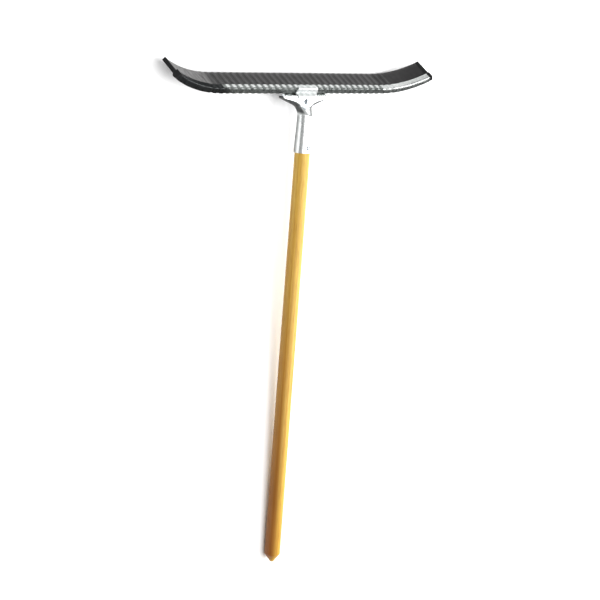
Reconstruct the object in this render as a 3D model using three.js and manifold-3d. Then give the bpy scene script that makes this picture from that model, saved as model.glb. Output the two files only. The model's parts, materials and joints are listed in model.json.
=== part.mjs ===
// A pull-and-push blade tool: a ribbed rubber blade with two forward-curving ends, held in a
// crimped steel channel, on a stamped bracket whose rolled socket takes a turned wooden handle.
//
// Sub-parts are laid out in the blade's own frame (X along the blade, Y to the back, Z up from the
// rubber's working edge). The finished tool is then laid down as it rests: on the rubber's back
// edge and on the end of the handle, with Z up from the floor.

import * as THREE from 'three';
import { ParametricGeometry } from 'three/addons/geometries/ParametricGeometry.js';
import { mergeVertices } from 'three/addons/utils/BufferGeometryUtils.js';
import Module from 'manifold-3d';

const wasm = await Module();
wasm.setup();

const GAP = 0.3;                 // clearance kept between two pieces that touch
const PAST = 1;                  // how far a cutting tool runs past the face that it cuts
const ARC_STEPS = 9;             // straight steps in each curved end
const ROUND_STEPS = 16;          // sides of a small round piece
const HANDLE_STEPS = 28;         // sides of the handle and the socket

// Blade: a straight middle and two ends bent forward (towards -Y)
const STRAIGHT_HALF = 189;
const BEND_RADIUS = 218;
const BEND_ANGLE = THREE.MathUtils.degToRad(31);
const CAP_LENGTH = 6.5;
const RUBBER_THICKNESS = 6.4;
const RUBBER_EXPOSED = 38.2;
const RIB_COUNT = 31;
const RIB_PITCH = 14.2;
const RIB_RELIEF = 0.7;
const RIB_RAMP = 2.2;            // length of each sloping side of a rib
const RIB_LAND = 4.4;            // length of a rib's flat top
const RIB_FOOT = RIB_LAND / 2 + RIB_RAMP;
const RIB_SPAN = ((RIB_COUNT - 1) / 2) * RIB_PITCH + RIB_FOOT;
const BLADE_END = STRAIGHT_HALF + BEND_RADIUS * BEND_ANGLE;
const STEEL_END = BLADE_END - CAP_LENGTH;
const CAP_LIP = 0.4;
const CAP_CHAMFER = 2.6;

// Channel that grips the rubber
const CHANNEL_THICKNESS = 12.4;
const CHANNEL_HEIGHT = 12;
const CHANNEL_ROOF = 1.6;
const SLOT_THICKNESS = RUBBER_THICKNESS + 2 * (RIB_RELIEF + GAP);
const CRIMP_DEPTH = 0.8;
const CHANNEL_TOP = RUBBER_EXPOSED + CHANNEL_HEIGHT;
const CHANNEL_BACK = CHANNEL_THICKNESS / 2;

// Handle, along an axis that rises to the back
const HANDLE_ANGLE = THREE.MathUtils.degToRad(30.6);
const AXIS_START = new THREE.Vector3(0, 4, CHANNEL_TOP + 3.8);
const HANDLE_FRONT = 38;
const HANDLE_RADIUS_FRONT = 11.8;
const HANDLE_RADIUS_MOUTH = 14;
const HANDLE_RADIUS_END = 14.9;
const HANDLE_MOUTH = 102.5;
const HANDLE_TAPER_START = 866;
const HANDLE_TAPER = [[14.3, 867.6], [4.8, 880.6], [2.9, 882.9], [0, 884]];   // [radius, station]

// Bracket: one pressed sheet that is a fan at the channel and rolls into a socket for the handle
const SHEET = 1.6;
const SHEET_TOP = 1.3;           // height of the fan's top above the handle's axis
const SOCKET_END = 104.5;
const MOUTH_RADIUS = 16.1;
const FOOT_HALF = 49;
const FOOT_DROP = 11;
const FOOT_SHEET = 2;
const ROLL_STEPS = 8;
const FLAT_STEPS = 3;

// Sections of the pressed sheet, each with a flat middle that rolls down at both sides:
// [station along the handle, half-width of the flat, reach, drop and angle of the roll, top]
const SHEET_SECTIONS = [
  [3, 54, 4.5, 9, 84, SHEET_TOP],
  [6.5, 52, 6.5, 9, 85, SHEET_TOP],
  [12, 27, 18, 9, 88, SHEET_TOP],
  [17, 14, 17.5, 9, 92, SHEET_TOP],
  [21, 7, 14.5, 9.4, 98, SHEET_TOP],
  [25, 4, 13, 10.2, 113, 4.2],
  [30, 1.5, 13.2, 12, 138, 8.7],
  [37, 0, 13.8, 13.8, 174, 13.8],
  [SOCKET_END, 0, MOUTH_RADIUS, MOUTH_RADIUS, 176, MOUTH_RADIUS],
];

// Clamp strap over the channel
const STRAP_SHEET = 2.4;
const STRAP_HALF_BACK = 25;
const STRAP_HALF_FRONT = 20;
const STRAP_HALF_END = 10;
const STRAP_HOOK = 6;
const STRAP_END = 20.5;

// Fasteners
const BOLT_RADIUS = 3;
const BOLT_REACH = 12;           // how far the bolt's holes run each way, well past its sheets
const BOLT_STATION = 13.5;
const BOLT_HEAD_RADIUS = 5.6;
const BOLT_HEAD_HEIGHT = 4;
const BOLT_TAIL = 3;             // thread that shows below the nut
const WASHER_RADIUS = 6.2;
const WASHER_THICKNESS = 1.2;
const NUT_HEIGHT = 5;
const FOOT_SCREW_STATIONS = [-42, -15, 15, 42];
const FOOT_SCREW_RADIUS = 2.1;
const FOOT_SCREW_HEAD = 4;
const FOOT_SCREW_HEAD_HEIGHT = 3;
const FOOT_SCREW_BITE = 7;
const FOOT_BACK = CHANNEL_BACK + GAP + FOOT_SHEET;
const FOOT_SCREW_Z = RUBBER_EXPOSED + CHANNEL_HEIGHT / 2;
const FOOT_WASHER_RADIUS = 4.8;
const SOCKET_SCREW_STATION = 95;
const SOCKET_SCREW_RADIUS = 1.9;
const SOCKET_SCREW_HEAD = 4;
const SOCKET_SCREW_SHOULDER = [3.4, 1.6];   // radius and height where the head's dome begins
const SOCKET_SCREW_CROWN = 2.2;
const SOCKET_SCREW_DEPTH = 12;

// ---------------------------------------------------------------- materials

function material(color, roughness, metalness) {
  return new THREE.MeshStandardMaterial({ color, roughness, metalness });
}

const materials = {
  rubber: material(0x3a3a3c, 0.75, 0),
  moulding: material(0x1c1c1d, 0.6, 0),
  channel: material(0x9aa09c, 0.35, 1),
  bracket: material(0xdfe2e1, 0.3, 1),
  fastener: material(0xb9c2c8, 0.3, 1),
  wood: material(0xd9a850, 0.35, 0),
};

// ---------------------------------------------------------------- solid helpers

function toSolid(geometry) {
  const bare = geometry.clone();
  bare.deleteAttribute('normal');
  bare.deleteAttribute('uv');
  const merged = mergeVertices(bare, 1e-4);
  const mesh = new wasm.Mesh({
    numProp: 3,
    vertProperties: new Float32Array(merged.attributes.position.array),
    triVerts: new Uint32Array(merged.index.array),
  });
  return new wasm.Manifold(mesh);
}

function toGeometry(solid) {
  const mesh = solid.getMesh();
  const geometry = new THREE.BufferGeometry();
  geometry.setAttribute('position', new THREE.BufferAttribute(mesh.vertProperties, 3));
  geometry.setIndex(new THREE.BufferAttribute(mesh.triVerts, 1));
  geometry.computeVertexNormals();
  return geometry;
}

function join(first, ...others) {
  return toGeometry(others.reduce((solid, next) => solid.add(toSolid(next)), toSolid(first)));
}

function cut(first, ...tools) {
  return toGeometry(tools.reduce((solid, tool) => solid.subtract(toSolid(tool)), toSolid(first)));
}

function common(first, second) {
  return toGeometry(toSolid(first).intersect(toSolid(second)));
}

function outline(points) {
  return new THREE.Shape(points.map(([x, y]) => new THREE.Vector2(x, y)));
}

function prism(shape, bottom, top, curveSegments = ARC_STEPS) {
  const options = { depth: top - bottom, bevelEnabled: false, curveSegments };
  return new THREE.ExtrudeGeometry(shape, options).translate(0, 0, bottom);
}

// A profile drawn in (Y, Z) and extruded along X, centred on X = 0
function sideProfile(points, halfLength) {
  const onItsSide = new THREE.Matrix4().makeBasis(
    new THREE.Vector3(0, 1, 0),
    new THREE.Vector3(0, 0, 1),
    new THREE.Vector3(1, 0, 0),
  );
  return prism(outline(points), -halfLength, halfLength).applyMatrix4(onItsSide);
}

// A box given by its lowest and highest corner
function block(low, high) {
  const size = high.map((value, axis) => value - low[axis]);
  const centre = high.map((value, axis) => (value + low[axis]) / 2);
  return new THREE.BoxGeometry(...size).translate(...centre);
}

// A turned piece from (radius, station) pairs, revolved about Y
function turned(profile, sides = ROUND_STEPS) {
  return new THREE.LatheGeometry(profile.map(([r, y]) => new THREE.Vector2(r, y)), sides);
}

function rod(radius, from, to, sides = ROUND_STEPS) {
  return turned([[0, from], [radius, from], [radius, to], [0, to]], sides);
}

// ---------------------------------------------------------------- the handle's axis

const handleFrame = new THREE.Matrix4()
  .makeRotationX(HANDLE_ANGLE)
  .setPosition(AXIS_START);

function alongHandle(geometry) {
  return geometry.applyMatrix4(handleFrame);
}

// (Y, Z) of a point at a station along the handle's axis and a height above it
function sidePoint(station, height) {
  const point = new THREE.Vector3(0, station, height).applyMatrix4(handleFrame);
  return [point.y, point.z];
}

// Turns a piece made along Y so that it points along Z
function upright(geometry) {
  return geometry.rotateX(Math.PI / 2);
}

// ---------------------------------------------------------------- blade

// Plan position of a point at distance s along the blade, offset to the back by y
function bladePoint(s, y) {
  const turn = Math.max(0, Math.abs(s) - STRAIGHT_HALF) / BEND_RADIUS;
  if (turn === 0) return [s, y];
  const radius = BEND_RADIUS + y;
  const x = STRAIGHT_HALF + radius * Math.sin(turn);
  return [Math.sign(s) * x, radius * Math.cos(turn) - BEND_RADIUS];
}

// (s, y) pairs of the ribs of one face, each a flat land between two ramps
function ribRun(y, relief) {
  const pairs = [];
  for (let i = 0; i < RIB_COUNT; i += 1) {
    const centre = (i - (RIB_COUNT - 1) / 2) * RIB_PITCH;
    pairs.push([centre - RIB_FOOT, y]);
    pairs.push([centre - RIB_LAND / 2, y + relief]);
    pairs.push([centre + RIB_LAND / 2, y + relief]);
    pairs.push([centre + RIB_FOOT, y]);
  }
  return pairs;
}

// Plan points of one face of a band, from its left end to its right end
function bandFace(y, relief, end) {
  const middle = relief === 0 ? [] : ribRun(y, relief);
  const bendStart = relief === 0 ? STRAIGHT_HALF : RIB_SPAN + RIB_LAND;
  const bend = [];
  for (let i = 0; i <= ARC_STEPS; i += 1) {
    bend.push([THREE.MathUtils.lerp(bendStart, end, i / ARC_STEPS), y]);
  }
  const left = bend.map(([s, offset]) => [-s, offset]).reverse();
  return [...left, ...middle, ...bend].map(([s, offset]) => bladePoint(s, offset));
}

// A wall that follows the blade; relief > 0 raises ribs on both faces, relief < 0 presses crimps
function band(halfThickness, relief, end, bottom, top) {
  const back = bandFace(halfThickness, relief, end);
  const front = bandFace(-halfThickness, -relief, end).reverse();
  return prism(outline([...back, ...front]), bottom, top);
}

function footScrewHoles(from, to) {
  const hole = rod(FOOT_SCREW_RADIUS + GAP, from, to);
  return FOOT_SCREW_STATIONS.map((x) => hole.clone().translate(x, 0, FOOT_SCREW_Z));
}

function rubberBlade() {
  const blade = band(RUBBER_THICKNESS / 2, RIB_RELIEF, STEEL_END, 0, CHANNEL_TOP - CHANNEL_ROOF - GAP);
  return cut(blade, ...footScrewHoles(CHANNEL_BACK - FOOT_SCREW_BITE - GAP, CHANNEL_BACK));
}

function bladeChannel() {
  const outside = band(CHANNEL_THICKNESS / 2, -CRIMP_DEPTH, STEEL_END, RUBBER_EXPOSED, CHANNEL_TOP);
  const slotBottom = RUBBER_EXPOSED - PAST;
  const slot = band(SLOT_THICKNESS / 2, 0, STEEL_END + PAST, slotBottom, CHANNEL_TOP - CHANNEL_ROOF);
  return cut(outside, slot, ...footScrewHoles(0, CHANNEL_BACK + PAST));
}

// Black end piece: a narrow leg behind the rubber's end, a wider head over the channel's end
function endCap(side) {
  const leg = RUBBER_THICKNESS / 2 + CAP_LIP;
  const head = CHANNEL_BACK + CAP_LIP;
  const top = CHANNEL_TOP + CAP_LIP;
  const profile = [
    [-leg, 0],
    [leg, 0],
    [leg, RUBBER_EXPOSED - CAP_LIP],
    [head, RUBBER_EXPOSED + CAP_CHAMFER],
    [head, top - 2 * CAP_CHAMFER],
    [head - CAP_CHAMFER, top],
    [-head + CAP_LIP, top],
    [-head, top - CAP_LIP],
    [-head, RUBBER_EXPOSED - CAP_LIP],
    [-leg, RUBBER_EXPOSED - CAP_LIP],
  ];
  const centre = STEEL_END + GAP + (CAP_LENGTH - GAP) / 2;
  const [x, y] = bladePoint(side * centre, 0);
  return sideProfile(profile, (CAP_LENGTH - GAP) / 2)
    .rotateZ(-side * (centre - STRAIGHT_HALF) / BEND_RADIUS)
    .translate(x, y, 0);
}

// ---------------------------------------------------------------- bracket

// Half section of the pressed sheet: [x, height] of a point at a depth below its top face
function sheetPoint(section, step, depth) {
  const [, flat, reach, drop, angle, top] = section;
  if (step <= FLAT_STEPS) return [(flat * step) / FLAT_STEPS, top - depth];
  const turn = THREE.MathUtils.degToRad(angle) * ((step - FLAT_STEPS) / ROLL_STEPS);
  return [flat + (reach - depth) * Math.sin(turn), top - drop + (drop - depth) * Math.cos(turn)];
}

// The rolled sheet as a closed surface: its outside one way round, its inside back again
function pressedSheet() {
  const half = FLAT_STEPS + ROLL_STEPS;
  const across = 2 * half + 1;
  const around = 2 * across;
  const along = SHEET_SECTIONS.length + 1;
  const surface = (u, v, target) => {
    const index = Math.round(u * around) % around;
    const row = Math.round(v * along);
    const section = SHEET_SECTIONS[THREE.MathUtils.clamp(row - 1, 0, SHEET_SECTIONS.length - 1)];
    const outside = index < across;
    const place = (outside ? index : around - 1 - index) - half;
    const closed = row === 0 || row === along;
    const depth = closed ? SHEET / 2 : Number(!outside) * SHEET;
    const [x, height] = sheetPoint(section, Math.abs(place), depth);
    target.set(Math.sign(place) * x, section[0], height);
  };
  return new ParametricGeometry(surface, around, along);
}

function socketBracket() {
  const front = CHANNEL_BACK + GAP;
  const [fanFront] = SHEET_SECTIONS[0];
  const foot = block(
    [-FOOT_HALF, front, CHANNEL_TOP - FOOT_DROP],
    [FOOT_HALF, front + FOOT_SHEET, sidePoint(fanFront, 0)[1] + SHEET / 2],
  );
  const sheet = cut(pressedSheet(), boltHole(), socketScrewHole());
  return cut(join(alongHandle(sheet), foot), ...footScrewHoles(CHANNEL_BACK, FOOT_BACK + PAST));
}

function boltHole() {
  return upright(rod(BOLT_RADIUS + GAP, -BOLT_REACH, BOLT_REACH)).translate(0, BOLT_STATION, 0);
}

function socketScrewHole() {
  const bottom = MOUTH_RADIUS - SOCKET_SCREW_DEPTH - GAP;
  return upright(rod(SOCKET_SCREW_RADIUS + GAP, bottom, MOUTH_RADIUS + PAST))
    .translate(0, SOCKET_SCREW_STATION, 0);
}

// The strap hooks over the channel's front, lies on its top and climbs onto the fan
function clampStrap() {
  const bottom = CHANNEL_TOP + GAP;
  const front = -CHANNEL_BACK - GAP;
  const over = SHEET_TOP + GAP;
  const [fanFront] = SHEET_SECTIONS[0];
  const side = [
    [front, CHANNEL_TOP - STRAP_HOOK],
    [front, bottom],
    [AXIS_START.y, bottom],
    sidePoint(fanFront - GAP, over),
    sidePoint(STRAP_END, over),
    sidePoint(STRAP_END, over + STRAP_SHEET),
    sidePoint(fanFront - STRAP_SHEET, over + STRAP_SHEET),
    [AXIS_START.y - STRAP_SHEET, bottom + STRAP_SHEET],
    [front - STRAP_SHEET, bottom + STRAP_SHEET],
    [front - STRAP_SHEET, CHANNEL_TOP - STRAP_HOOK],
  ];
  const plan = outline([
    [-STRAP_HALF_FRONT, front - STRAP_SHEET - PAST],
    [STRAP_HALF_FRONT, front - STRAP_SHEET - PAST],
    [STRAP_HALF_BACK, AXIS_START.y],
    [STRAP_HALF_END, AXIS_START.y + STRAP_END],
    [-STRAP_HALF_END, AXIS_START.y + STRAP_END],
    [-STRAP_HALF_BACK, AXIS_START.y],
  ]);
  const strap = common(sideProfile(side, STRAP_HALF_BACK), prism(plan, 0, 2 * CHANNEL_TOP));
  return cut(strap, alongHandle(boltHole()));
}

// ---------------------------------------------------------------- handle

function handle() {
  const profile = [
    [0, HANDLE_FRONT],
    [HANDLE_RADIUS_FRONT, HANDLE_FRONT],
    [HANDLE_RADIUS_MOUTH, HANDLE_MOUTH],
    [HANDLE_RADIUS_END, HANDLE_TAPER_START],
    ...HANDLE_TAPER,
  ];
  return alongHandle(cut(turned(profile, HANDLE_STEPS), socketScrewHole()));
}

// ---------------------------------------------------------------- fasteners

function washer(inner, outer, from, thickness = WASHER_THICKNESS) {
  const to = from + thickness;
  return turned([[inner, from], [outer, from], [outer, to], [inner, to], [inner, from]]);
}

const STRAP_TOP = SHEET_TOP + GAP + STRAP_SHEET;
const PLATE_BOTTOM = SHEET_TOP - SHEET;
const BOLT_HEAD_BASE = STRAP_TOP + WASHER_THICKNESS + 2 * GAP;
const NUT_TOP = PLATE_BOTTOM - WASHER_THICKNESS - 2 * GAP;

// Places a piece made along Y on the centre bolt's axis
function onBolt(geometry) {
  return alongHandle(upright(geometry).translate(0, BOLT_STATION, 0));
}

function centreBolt() {
  const shank = rod(BOLT_RADIUS, NUT_TOP - NUT_HEIGHT - BOLT_TAIL, BOLT_HEAD_BASE + PAST);
  const head = rod(BOLT_HEAD_RADIUS, BOLT_HEAD_BASE, BOLT_HEAD_BASE + BOLT_HEAD_HEIGHT, 6);
  return onBolt(join(shank, head));
}

function centreNut() {
  const body = rod(BOLT_HEAD_RADIUS, NUT_TOP - NUT_HEIGHT, NUT_TOP, 6);
  return onBolt(cut(body, rod(BOLT_RADIUS + GAP, NUT_TOP - NUT_HEIGHT - PAST, NUT_TOP + PAST)));
}

function centreWasher(from) {
  return onBolt(washer(BOLT_RADIUS + GAP, WASHER_RADIUS, from));
}

function footWasher(x) {
  const ring = washer(FOOT_SCREW_RADIUS + GAP, FOOT_WASHER_RADIUS, FOOT_BACK + GAP);
  return ring.translate(x, 0, FOOT_SCREW_Z);
}

function footScrew(x) {
  const headBase = FOOT_BACK + WASHER_THICKNESS + 2 * GAP;
  const shank = rod(FOOT_SCREW_RADIUS, CHANNEL_BACK - FOOT_SCREW_BITE, headBase + PAST);
  const head = rod(FOOT_SCREW_HEAD, headBase, headBase + FOOT_SCREW_HEAD_HEIGHT, 6);
  return join(shank, head).translate(x, 0, FOOT_SCREW_Z);
}

function socketScrew() {
  const [shoulderRadius, shoulderHeight] = SOCKET_SCREW_SHOULDER;
  const base = MOUTH_RADIUS + GAP;
  const tip = MOUTH_RADIUS - SOCKET_SCREW_DEPTH;
  const screw = turned([
    [0, tip],
    [SOCKET_SCREW_RADIUS, tip + SOCKET_SCREW_RADIUS],
    [SOCKET_SCREW_RADIUS, base],
    [SOCKET_SCREW_HEAD, base],
    [shoulderRadius, base + shoulderHeight],
    [0, base + SOCKET_SCREW_CROWN],
  ]);
  return alongHandle(upright(screw).translate(0, SOCKET_SCREW_STATION, 0));
}

// ---------------------------------------------------------------- assembly

const tool = new THREE.Group();

function addPiece(name, geometry, look) {
  const piece = new THREE.Mesh(geometry, look.clone());
  piece.name = name;
  tool.add(piece);
}

addPiece('rubber_blade', rubberBlade(), materials.rubber);
addPiece('blade_channel', bladeChannel(), materials.channel);
addPiece('end_cap_left', endCap(-1), materials.moulding);
addPiece('end_cap_right', endCap(1), materials.moulding);
addPiece('socket_bracket', socketBracket(), materials.bracket);
addPiece('clamp_strap', clampStrap(), materials.bracket);
addPiece('handle', handle(), materials.wood);
addPiece('socket_screw', socketScrew(), materials.fastener);
addPiece('centre_bolt', centreBolt(), materials.fastener);
addPiece('centre_washer_top', centreWasher(STRAP_TOP + GAP), materials.fastener);
addPiece('centre_washer_bottom', centreWasher(NUT_TOP + GAP), materials.fastener);
addPiece('centre_nut', centreNut(), materials.fastener);
FOOT_SCREW_STATIONS.forEach((x, index) => {
  addPiece(`foot_screw_${index + 1}`, footScrew(x), materials.fastener);
  addPiece(`foot_washer_${index + 1}`, footWasher(x), materials.fastener);
});

// Lay the tool down: the floor touches the rubber's back edge and the underside of the handle's end
function restingTilt() {
  const edge = [RUBBER_THICKNESS / 2 + RIB_RELIEF, 0];
  const end = sidePoint(HANDLE_TAPER_START, -HANDLE_RADIUS_END);
  return Math.atan2(end[1] - edge[1], end[0] - edge[0]);
}

tool.rotation.x = -restingTilt();
const box = new THREE.Box3().setFromObject(tool, true);
const middle = box.getCenter(new THREE.Vector3());
tool.position.set(-middle.x, -middle.y, -box.min.z);

export default tool;
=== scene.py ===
"""Visual model of a curved rubber-blade pusher with a wooden handle, built around its CAD frame.

Shapes are in millimetres. Blade pieces are made in the blade's frame (X along the blade, Y to the
back, Z up from the rubber's working edge), and the others in the handle's frame (Y along its axis).
"""
import json
import math

import bmesh
import bpy
from mathutils import Matrix, Vector


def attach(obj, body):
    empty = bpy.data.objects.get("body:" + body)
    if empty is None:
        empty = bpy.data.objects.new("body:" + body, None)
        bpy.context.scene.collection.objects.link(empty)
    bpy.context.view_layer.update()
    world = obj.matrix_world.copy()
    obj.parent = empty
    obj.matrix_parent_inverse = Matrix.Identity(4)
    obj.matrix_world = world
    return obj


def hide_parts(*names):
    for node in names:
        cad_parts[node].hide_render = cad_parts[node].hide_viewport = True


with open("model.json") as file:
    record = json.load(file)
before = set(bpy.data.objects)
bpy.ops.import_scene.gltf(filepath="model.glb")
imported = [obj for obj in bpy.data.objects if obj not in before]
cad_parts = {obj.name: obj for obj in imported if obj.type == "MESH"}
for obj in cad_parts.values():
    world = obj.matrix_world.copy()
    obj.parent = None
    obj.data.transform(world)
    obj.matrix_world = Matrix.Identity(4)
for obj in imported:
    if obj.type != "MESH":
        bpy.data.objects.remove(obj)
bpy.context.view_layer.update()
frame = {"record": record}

MM = 0.001
GAP = 0.3                    # clearance between pieces
BEVEL_STEPS = 3

# ------------------------------------------------------------------ dimensions

# Blade
STRAIGHT_HALF = 189
BEND_RADIUS = 218
BEND_ANGLE = math.radians(31)
CAP_LENGTH = 6.5
STEEL_END = STRAIGHT_HALF + BEND_RADIUS * BEND_ANGLE - CAP_LENGTH
CAP_LIP = 0.4
CAP_CHAMFER = 2.6
RUBBER_HALF = 3.2
RUBBER_EXPOSED = 38.2
RIB_COUNT = 31
RIB_PITCH = 14.2
RIB_LAND = 4.4
RIB_RAMP = 2.2
RIB_RELIEF = 0.7
RIB_STEPS = 14
BEND_STEPS = 26

# Channel
CHANNEL_HALF = 6.2
CHANNEL_TOP = 50.2
CHANNEL_ROOF = 1.6
SLOT_HALF = 4.2
CRIMP_DEPTH = 0.8
SPINE_DIP = 0.5

# Handle and bracket
HANDLE_ANGLE = math.radians(30.6)
AXIS_START = Vector((0, 4, 54))
HANDLE_PROFILE = (           # (radius, station along the axis)
    (0, 38), (11.0, 38), (11.8, 38.8), (14, 102.5), (14.2, 240), (14.6, 560),
    (14.9, 866), (14.75, 866.9), (14.3, 867.6), (4.8, 880.6), (3.9, 881.9), (2.4, 883.2), (0, 884),
)
HANDLE_SIDES = 72
SHEET = 1.6
SHEET_TOP = 1.3              # height of the fan's top above the handle's axis
FAN_FRONT = 3
SOCKET_START = 37
SOCKET_END = 104.5
MOUTH_RADIUS = 16.1
FOOT_HALF = 49
FOOT_DROP = 11
FOOT_SHEET = 2
FOOT_TUCK = 2                # how far the foot's top runs in under the fan
FOOT_SHOULDERS = (1.4, 0.6)  # how far below its top the foot's back and face turn down
FOOT_TOP_SLANT = (-0.8, 0.2)  # (y, z) from the top of its back to the top of its face
FOOT_BEND = 1
FOOT_COLUMNS = 24
# The pressed sheet's sections: station, half-width of its flat, the roll's reach, drop, angle, top
SHEET_SECTIONS = (
    (FAN_FRONT, 54, 4.5, 9, 84, SHEET_TOP),
    (6.5, 52, 6.5, 9, 85, SHEET_TOP),
    (12, 27, 18, 9, 88, SHEET_TOP),
    (17, 14, 17.5, 9, 92, SHEET_TOP),
    (21, 7, 14.5, 9.4, 98, SHEET_TOP),
    (25, 4, 13, 10.2, 113, 4.2),
    (30, 1.5, 13.2, 12, 138, 8.7),
    (SOCKET_START, 0, 13.8, 13.8, 174, 13.8),
    (SOCKET_END, 0, MOUTH_RADIUS, MOUTH_RADIUS, 176, MOUTH_RADIUS),
)
SHEET_ROWS = 70
SHEET_CROWDING = 1.35        # above 1, the rows lie closer together at the fan
FLAT_COLUMNS = 8
ROLL_COLUMNS = 20

# Clamp strap
STRAP_SHEET = 2.4
STRAP_HALF_BACK = 25
STRAP_HALF_FRONT = 20
STRAP_HALF_END = 10
STRAP_HOOK = 6
STRAP_END = 20.5
STRAP_WIDENS = 12            # distance from its front edge over which it widens
STRAP_NARROWS = 18           # distance from its front edge where it starts to narrow
STRAP_CORNER = 4
STRAP_PRESS = 0.5            # depth of its flutes
FLUTES_FADE = (17, 21)       # distances from its front edge between which the flutes run out
STRAP_BEND = 0.7
STRAP_STEP = 0.8
STRAP_COLUMNS = 72

# Fasteners
BOLT_STATION = 13.5
BOLT_RADIUS = 3
BOLT_REACH = 9               # how far the bolt's holes run each way
HEX_RADIUS = 5.6
BOLT_HEAD_HEIGHT = 4
BOLT_TAIL = 3                # thread that shows below the nut
NUT_HEIGHT = 5
HEX_CHAMFER = 0.8
HEX_FLAT = math.cos(math.pi / 6)   # half-width across a hexagon's flats, in corner radii
HEX_CROWN = 0.98             # radius of a head's end face, in half-widths across its flats
HEX_SPARE = 1.05             # radius of a hexagon's blank before it is cut, in corner radii
WASHER_RADIUS = 6.2
WASHER_THICKNESS = 1.2
WASHER_EDGE = 0.25
FOOT_SCREW_STATIONS = (-42, -15, 15, 42)
FOOT_SCREW_RADIUS = 2.1
FOOT_SCREW_HEAD = 4
FOOT_SCREW_HEAD_HEIGHT = 3
FOOT_SCREW_BITE = 7
FOOT_SCREW_REACH = 14        # how far the foot's screw holes run to the back
FOOT_SCREW_Z = 44.2
FOOT_WASHER_RADIUS = 4.8
SOCKET_SCREW_STATION = 95
SOCKET_SCREW_RADIUS = 1.9
SOCKET_SCREW_HEAD = 4
SOCKET_SCREW_RIM = 0.3
SOCKET_SCREW_DOME = 1.9
SOCKET_SCREW_EDGE = 0.2
DOME_STEPS = 8
SOCKET_SCREW_DEPTH = 12
SOCKET_SCREW_POINT = (0.5, 0.8)    # radius of its point and height of the taper up to it
SOCKET_SCREW_THREAD = (2, 0.5)     # height above its tip where the thread starts, its depth
RECESS_SIZE = (4.4, 0.8, 4)  # one arm of the cross recess: length, width, height of its cutter
RECESS_FLOOR = 0.9           # height of the recess's floor above the head's base
RECESS_TURN = math.radians(20)
ROUND_SIDES = 48


# ------------------------------------------------------------------ frames

def blade_frame():
    """The blade's own frame, from the record's mount on the rubber's working edge."""
    edge = next(m for m in frame["record"]["mounts"] if m["name"] == "working_edge")
    up = -Vector(edge["axis"]).normalized()
    across = Vector((1, 0, 0))
    turn = Matrix((across, up.cross(across), up)).transposed().to_4x4()
    return Matrix.Translation(edge["pos_m"]) @ turn


BLADE_FRAME = blade_frame()
HANDLE_IN_BLADE = Matrix.Translation(AXIS_START * MM) @ Matrix.Rotation(HANDLE_ANGLE, 4, "X")
HANDLE_FRAME = BLADE_FRAME @ HANDLE_IN_BLADE
BOLT_FRAME = HANDLE_FRAME @ Matrix.Translation((0, BOLT_STATION * MM, 0))
SCREW_FRAME = HANDLE_FRAME @ Matrix.Translation((0, SOCKET_SCREW_STATION * MM, 0))


def foot_screw_frame(x):
    """Z of this frame points out of the bracket's foot, to the back."""
    place = Matrix.Translation((x * MM, 0, FOOT_SCREW_Z * MM))
    return BLADE_FRAME @ place @ Matrix.Rotation(-math.pi / 2, 4, "X")


def side_point(station, height):
    """(y, z) in the blade's frame of a station along the handle's axis and a height above it."""
    point = Matrix.Rotation(HANDLE_ANGLE, 3, "X") @ Vector((0, station, height)) + AXIS_START
    return point.y, point.z


# ------------------------------------------------------------------ mesh helpers

def grid_faces(bm, rows, wrap):
    """Quads between rows of vertices; wrap closes each row on itself."""
    columns = len(rows[0])
    for low, high in zip(rows, rows[1:]):
        for i in range(columns if wrap else columns - 1):
            j = (i + 1) % columns
            bm.faces.new((low[i], low[j], high[j], high[i]))


def add_rows(bm, rows):
    return [[bm.verts.new(Vector(point) * MM) for point in row] for row in rows]


def loft(rings):
    """A closed body through rings of points, with a flat face on each end."""
    bm = bmesh.new()
    rows = add_rows(bm, rings)
    grid_faces(bm, rows, wrap=True)
    bm.faces.new(rows[0])
    bm.faces.new(rows[-1])
    return bm


def sheet_body(top, bottom):
    """A closed sheet between two grids of points of the same size."""
    bm = bmesh.new()
    upper = add_rows(bm, top)
    lower = add_rows(bm, bottom)
    grid_faces(bm, upper, wrap=False)
    grid_faces(bm, lower, wrap=False)
    for a, b in (
        (upper[0], lower[0]),
        (upper[-1], lower[-1]),
        ([row[0] for row in upper], [row[0] for row in lower]),
        ([row[-1] for row in upper], [row[-1] for row in lower]),
    ):
        grid_faces(bm, [a, b], wrap=False)
    return bm


def lathe(profile, sides=ROUND_SIDES, hexagon=None, closed=False):
    """A body turned about Z from (radius, height) pairs, cut to a hexagon of that corner radius."""
    bm = bmesh.new()
    rows = []
    for radius, height in profile:
        if radius == 0:
            rows.append([bm.verts.new((0, 0, height * MM))] * sides)
            continue
        row = []
        for i in range(sides):
            angle = 2 * math.pi * i / sides
            reach = radius
            if hexagon:
                off_flat = (angle % (math.pi / 3)) - math.pi / 6
                reach = min(radius, hexagon * HEX_FLAT / math.cos(off_flat))
            point = Vector((reach * math.cos(angle), reach * math.sin(angle), height))
            row.append(bm.verts.new(point * MM))
        rows.append(row)
    if closed:
        rows.append(rows[0])
    for low, high in zip(rows, rows[1:]):
        for i in range(sides):
            j = (i + 1) % sides
            corners = list(dict.fromkeys((low[i], low[j], high[j], high[i])))
            bm.faces.new(corners)
    return bm


def bend(before, corner, after, radius, steps):
    """Points of a smooth bend that replaces a corner and starts radius away from it."""
    here = Vector(corner)
    start = here + (Vector(before) - here).normalized() * radius
    end = here + (Vector(after) - here).normalized() * radius
    points = []
    for k in range(steps + 1):
        u = k / steps
        points.append(start * (1 - u) ** 2 + here * (2 * u * (1 - u)) + end * u ** 2)
    return points


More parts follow.
